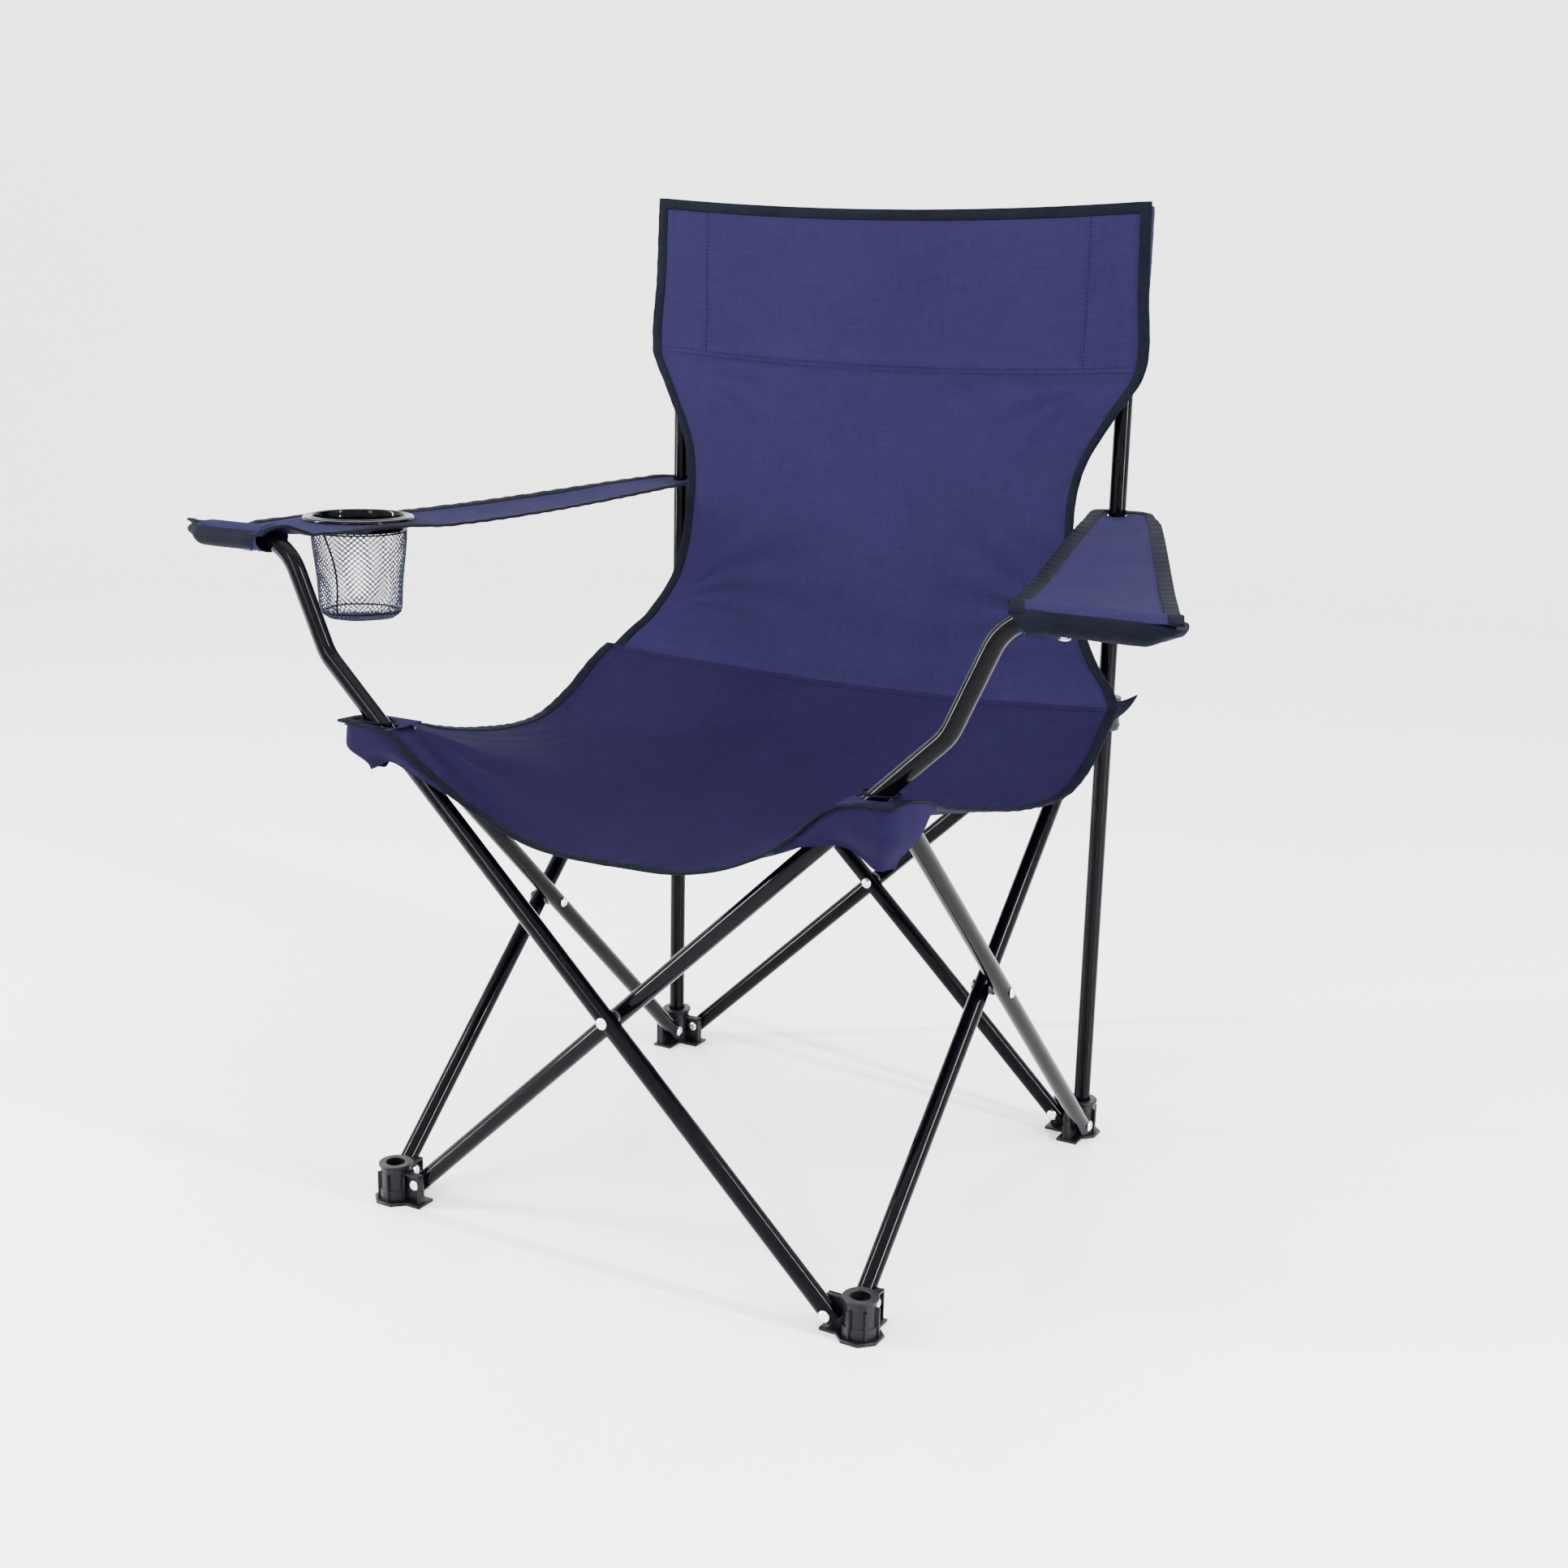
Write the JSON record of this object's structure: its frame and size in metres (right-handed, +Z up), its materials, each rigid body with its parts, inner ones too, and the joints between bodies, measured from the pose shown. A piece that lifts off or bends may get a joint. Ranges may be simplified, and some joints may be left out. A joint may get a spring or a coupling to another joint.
{
  "type": "folding camp chair",
  "caption": "Folding camp chair: black steel scissor frame with moulded corner hubs, navy cloth sling seat and back, armrest straps and a mesh cup holder.",
  "frame": {"origin": "centre of the chair's footprint box on the floor", "axes": "+Z up, front of the chair towards -Y, +X to the sitter's left"},
  "size_m": [0.858, 0.4986, 0.8415],
  "materials": {
    "black_steel": "gloss powder coat",
    "black_plastic": "satin moulded",
    "bright_rivet": "zinc plated",
    "nylon_washer": "satin",
    "navy_cloth": "woven polyester",
    "cup_net": "open net"
  },
  "bodies": {
    "root": {"rear_left_foot": "black_plastic", "rear_left_post": "black_steel", "left_post_cap": "black_plastic", "backrest": "navy_cloth", "left_armrest_strap": "navy_cloth"},
    "back_inner": {"back_inner_tube": "black_steel", "back_inner_foot_rivet": "bright_rivet", "back_inner_top_rivet": "bright_rivet"},
    "back_outer": {"back_outer_tube": "black_steel", "back_outer_foot_rivet": "bright_rivet", "back_outer_top_rivet": "bright_rivet", "back_middle_rivet": "bright_rivet", "back_washer": "nylon_washer"},
    "rear_right_corner": {"rear_right_foot": "black_plastic", "rear_right_post": "black_steel", "right_post_cap": "black_plastic", "right_armrest_strap": "navy_cloth"},
    "rear_right_slide": {"rear_right_slider": "black_plastic"},
    "rear_left_slide": {"rear_left_slider": "black_plastic"},
    "left_outer": {"left_outer_tube": "black_steel", "left_outer_foot_rivet": "bright_rivet", "left_outer_top_rivet": "bright_rivet", "left_middle_rivet": "bright_rivet", "left_washer": "nylon_washer"},
    "left_inner": {"left_inner_tube": "black_steel", "left_inner_foot_rivet": "bright_rivet", "left_inner_top_rivet": "bright_rivet"},
    "front_left_corner": {"front_left_foot": "black_plastic"},
    "front_left_top": {"front_left_top_hub": "black_plastic", "left_corner_pocket": "navy_cloth"},
    "front_outer": {"front_outer_tube": "black_steel", "front_outer_foot_rivet": "bright_rivet", "front_outer_top_rivet": "bright_rivet", "front_middle_rivet": "bright_rivet", "front_washer": "nylon_washer", "right_arm_plug": "black_plastic", "right_armrest_grip": "navy_cloth", "right_grip_rivet": "bright_rivet"},
    "front_inner": {"front_inner_tube": "black_steel", "front_inner_foot_rivet": "bright_rivet", "front_inner_top_rivet": "bright_rivet", "left_arm_plug": "black_plastic", "left_armrest_grip": "navy_cloth", "left_grip_rivet": "bright_rivet"},
    "front_right_corner": {"front_right_foot": "black_plastic"},
    "front_right_top": {"front_right_top_hub": "black_plastic", "right_corner_pocket": "navy_cloth"},
    "right_inner": {"right_inner_tube": "black_steel", "right_inner_foot_rivet": "bright_rivet", "right_inner_top_rivet": "bright_rivet"},
    "right_outer": {"right_outer_tube": "black_steel", "right_outer_foot_rivet": "bright_rivet", "right_outer_top_rivet": "bright_rivet", "right_middle_rivet": "bright_rivet", "right_washer": "nylon_washer"},
    "seat_left_side": {"seat_left": "navy_cloth"},
    "seat_right_side": {"seat_right": "navy_cloth"},
    "cup_holder": {"cup_ring": "black_plastic", "cup_basket": "cup_net"}
  },
  "joints": [
    {"name": "fold", "type": "hinge", "parent": "root", "child": "back_inner", "pos_m": [0.202, 0.2207, 0.018], "axis": [0, 1, 0], "range_deg": [0, 43.4], "deforming": ["backrest", "seat_left", "seat_right", "left_armrest_strap", "right_armrest_strap", "left_armrest_grip", "right_armrest_grip", "left_corner_pocket", "right_corner_pocket"]},
    {"name": "back_middle", "type": "hinge", "parent": "back_inner", "child": "back_outer", "pos_m": [0, 0.2302, 0.21045], "axis": [0, 1, 0], "range_deg": [-86.8, 0]},
    {"name": "rear_right_foot_pivot", "type": "hinge", "parent": "back_outer", "child": "rear_right_corner", "pos_m": [-0.202, 0.2397, 0.018], "axis": [0, 1, 0], "range_deg": [0, 43.4]},
    {"name": "rear_right_slider_pivot", "type": "hinge", "parent": "back_inner", "child": "rear_right_slide", "pos_m": [-0.202, 0.2207, 0.4029], "axis": [0, 1, 0], "range_deg": [-43.4, 0]},
    {"name": "rear_left_slider_pivot", "type": "hinge", "parent": "back_outer", "child": "rear_left_slide", "pos_m": [0.202, 0.2397, 0.4029], "axis": [0, 1, 0], "range_deg": [0, 43.4]},
    {"name": "rear_left_foot_pivot", "type": "hinge", "parent": "root", "child": "left_outer", "pos_m": [0.2335, 0.2082, 0.018], "axis": [1, 0, 0], "range_deg": [-43.4, 0]},
    {"name": "left_middle", "type": "hinge", "parent": "left_outer", "child": "left_inner", "pos_m": [0.224, 0.0062, 0.21045], "axis": [1, 0, 0], "range_deg": [0, 86.8]},
    {"name": "front_left_foot_side_pivot", "type": "hinge", "parent": "left_inner", "child": "front_left_corner", "pos_m": [0.2145, -0.1958, 0.018], "axis": [1, 0, 0], "range_deg": [-43.4, 0]},
    {"name": "front_left_top_pivot", "type": "hinge", "parent": "left_outer", "child": "front_left_top", "pos_m": [0.2335, -0.1958, 0.4029], "axis": [1, 0, 0], "range_deg": [0, 43.4]},
    {"name": "front_left_foot_pivot", "type": "hinge", "parent": "front_left_corner", "child": "front_outer", "pos_m": [0.202, -0.2273, 0.018], "axis": [0, 1, 0], "range_deg": [0, 43.4]},
    {"name": "front_middle", "type": "hinge", "parent": "front_outer", "child": "front_inner", "pos_m": [0, -0.2178, 0.21045], "axis": [0, 1, 0], "range_deg": [-86.8, 0]},
    {"name": "front_right_foot_pivot", "type": "hinge", "parent": "front_inner", "child": "front_right_corner", "pos_m": [-0.202, -0.2083, 0.018], "axis": [0, 1, 0], "range_deg": [0, 43.4]},
    {"name": "front_right_top_pivot", "type": "hinge", "parent": "front_outer", "child": "front_right_top", "pos_m": [-0.202, -0.2273, 0.4029], "axis": [0, 1, 0], "range_deg": [-43.4, 0]},
    {"name": "rear_right_foot_side_pivot", "type": "hinge", "parent": "rear_right_corner", "child": "right_inner", "pos_m": [-0.2145, 0.2082, 0.018], "axis": [1, 0, 0], "range_deg": [-43.4, 0]},
    {"name": "right_middle", "type": "hinge", "parent": "right_inner", "child": "right_outer", "pos_m": [-0.224, 0.0062, 0.21045], "axis": [1, 0, 0], "range_deg": [0, 86.8]},
    {"name": "seat_left_fold", "type": "hinge", "parent": "rear_left_slide", "child": "seat_left_side", "pos_m": [0.202, 0.0062, 0.4129], "axis": [0, 1, 0], "range_deg": [-66, 0]},
    {"name": "seat_right_fold", "type": "hinge", "parent": "rear_right_slide", "child": "seat_right_side", "pos_m": [-0.202, 0.0062, 0.4129], "axis": [0, 1, 0], "range_deg": [0, 66]},
    {"name": "cup_holder_slide", "type": "slide", "parent": "rear_right_corner", "child": "cup_holder", "axis": [0, 0.866, 0.5], "range_m": [0, 0.27521]}
  ],
  "couplings": [
    {"joint": "back_middle", "follows": "fold", "ratio": -2},
    {"joint": "rear_right_foot_pivot", "follows": "fold", "ratio": 1},
    {"joint": "rear_right_slider_pivot", "follows": "fold", "ratio": -1},
    {"joint": "rear_left_slider_pivot", "follows": "fold", "ratio": 1},
    {"joint": "rear_left_foot_pivot", "follows": "fold", "ratio": -1},
    {"joint": "left_middle", "follows": "fold", "ratio": 2},
    {"joint": "front_left_foot_side_pivot", "follows": "fold", "ratio": -1},
    {"joint": "front_left_top_pivot", "follows": "fold", "ratio": 1},
    {"joint": "front_left_foot_pivot", "follows": "fold", "ratio": 1},
    {"joint": "front_middle", "follows": "fold", "ratio": -2},
    {"joint": "front_right_foot_pivot", "follows": "fold", "ratio": 1},
    {"joint": "front_right_top_pivot", "follows": "fold", "ratio": -1},
    {"joint": "rear_right_foot_side_pivot", "follows": "fold", "ratio": -1},
    {"joint": "right_middle", "follows": "fold", "ratio": 2},
    {"joint": "seat_left_fold", "follows": "fold", "ratio": -1.5207},
    {"joint": "seat_right_fold", "follows": "fold", "ratio": 1.5207},
    {"joint": "cup_holder_slide", "follows": "fold", "m_per_rad": 0.36331}
  ]
}
